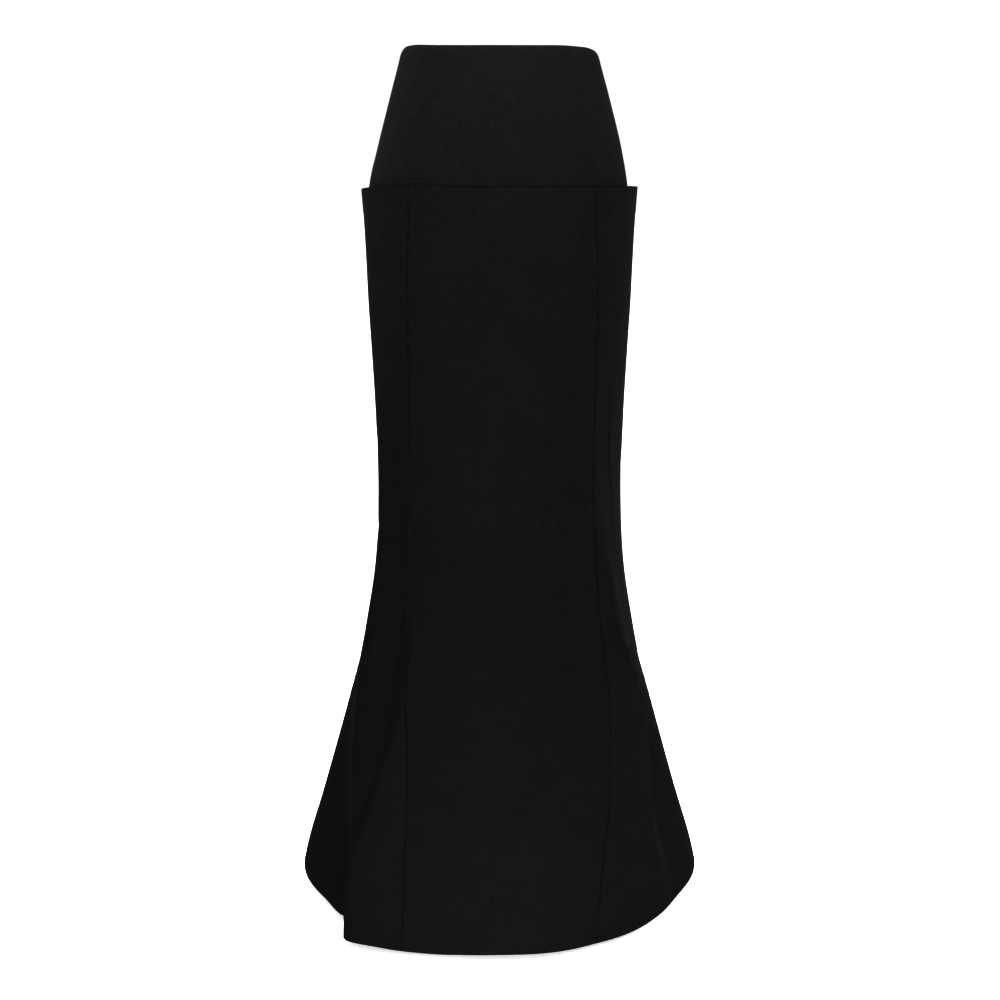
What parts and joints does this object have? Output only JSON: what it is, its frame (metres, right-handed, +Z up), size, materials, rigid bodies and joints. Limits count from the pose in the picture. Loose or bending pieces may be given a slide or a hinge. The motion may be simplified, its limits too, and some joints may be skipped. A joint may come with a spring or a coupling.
{
  "type": "maxi skirt with a deep hip yoke and a trumpet hem, in its worn form",
  "caption": "Floor-length fitted skirt in matt black crepe: a deep waist yoke set under a standing hip rim, narrow at the knee and flared in soft flutes to the hem.",
  "frame": {"origin": "centre of the waist's top edge, where the wearer's waist holds the skirt", "axes": "+Z up out of the waist, -Y towards the front, +X towards the right-hand side of someone looking at the front"},
  "size_m": [0.5205, 0.4802, 1.0856],
  "materials": {
    "crepe": "matt black double crepe, fine even weave",
    "tape": "matt black woven zip tape",
    "zip_metal": "satin black enamel"
  },
  "bodies": {
    "skirt": {"yoke_front": "crepe", "yoke_back_left": "crepe", "yoke_back_right": "crepe", "front_centre": "crepe", "front_side_left": "crepe", "front_side_right": "crepe", "back_side_left": "crepe", "back_side_right": "crepe", "back_centre_left": "crepe", "back_centre_right": "crepe", "zip_tape_left": "tape", "zip_tape_right": "tape", "zip_slider": "zip_metal"},
    "pull": {"zip_pull": "zip_metal"}
  },
  "joints": [
    {"name": "pull_swing", "type": "hinge", "parent": "skirt", "child": "pull", "pos_m": [0.00004, 0.09488, -0.01621], "axis": [1, 0, 0], "range_deg": [0, 175]}
  ]
}
